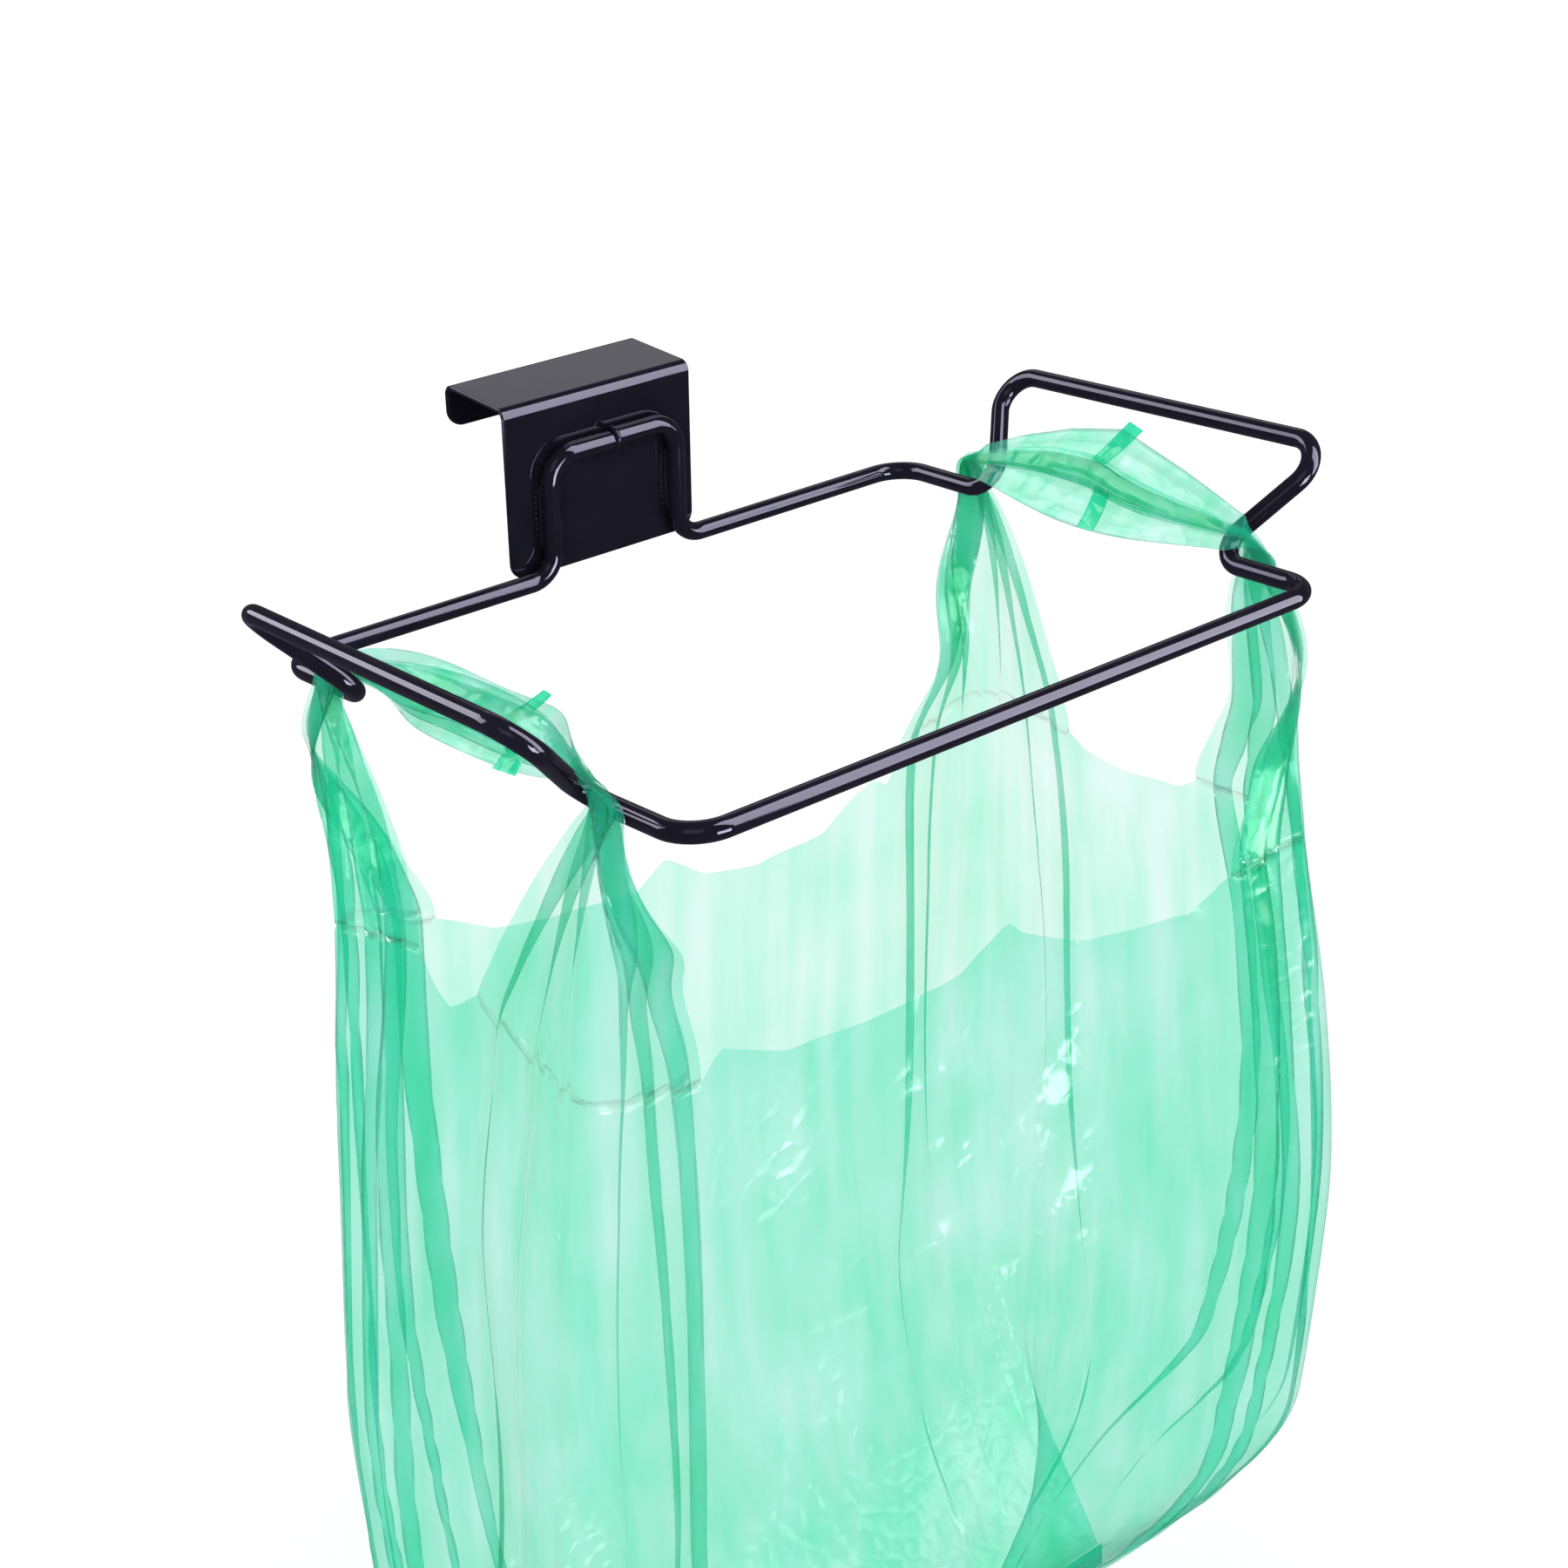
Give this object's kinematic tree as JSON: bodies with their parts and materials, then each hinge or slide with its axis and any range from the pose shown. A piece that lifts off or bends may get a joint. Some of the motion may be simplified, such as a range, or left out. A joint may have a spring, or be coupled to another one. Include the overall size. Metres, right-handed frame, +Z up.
{
  "type": "plastic bag holder",
  "caption": "Over-door wire bag holder: folded sheet hook, welded wire ring with two splayed wings, and a film carrier bag hung by its handles.",
  "frame": {"origin": "centre of the hook's seat, the underside of its top, where it rests on the door's top edge", "axes": "+Z up, -Y to the front where the ring stands out from the door, +X to the right seen from the front"},
  "size_m": [0.26, 0.1916, 0.4354],
  "materials": {
    "coated_steel": "gloss black powder coat",
    "bag_film": "thin translucent film",
    "bag_film_gathered": "gathered translucent film"
  },
  "bodies": {
    "holder": {"hook_plate": "coated_steel", "hanger_left": "coated_steel", "hanger_right": "coated_steel", "hanger_butt_weld": "coated_steel", "weld_left": "coated_steel", "weld_right": "coated_steel", "back_rail_left": "coated_steel", "back_rail_right": "coated_steel", "rear_corner_left": "coated_steel", "rear_corner_right": "coated_steel", "wing_foot_rear_left": "coated_steel", "wing_foot_rear_right": "coated_steel", "wing_leg_rear_left": "coated_steel", "wing_leg_rear_right": "coated_steel", "wing_bar_left": "coated_steel", "wing_bar_right": "coated_steel", "wing_leg_front_left": "coated_steel", "wing_leg_front_right": "coated_steel", "wing_foot_front_left": "coated_steel", "wing_foot_front_right": "coated_steel", "front_corner_left": "coated_steel", "front_corner_right": "coated_steel", "front_rail": "coated_steel", "handle_band_left": "bag_film_gathered", "handle_band_right": "bag_film_gathered", "handle_seal_left": "bag_film_gathered", "handle_seal_right": "bag_film_gathered"},
    "bag": {"bag_front_panel": "bag_film", "bag_back_panel": "bag_film", "bag_gusset_left": "bag_film", "bag_gusset_right": "bag_film", "bag_floor_fold": "bag_film", "bag_bottom_seal": "bag_film_gathered", "strap_front_left": "bag_film_gathered", "strap_front_right": "bag_film_gathered", "strap_rear_left": "bag_film_gathered", "strap_rear_right": "bag_film_gathered"}
  },
  "joints": [
    {"name": "bag_lift", "type": "slide", "parent": "holder", "child": "bag", "axis": [0, 0, 1], "range_m": [0, 0.025], "deforming": ["strap_front_left", "strap_front_right", "strap_rear_left", "strap_rear_right"]}
  ]
}
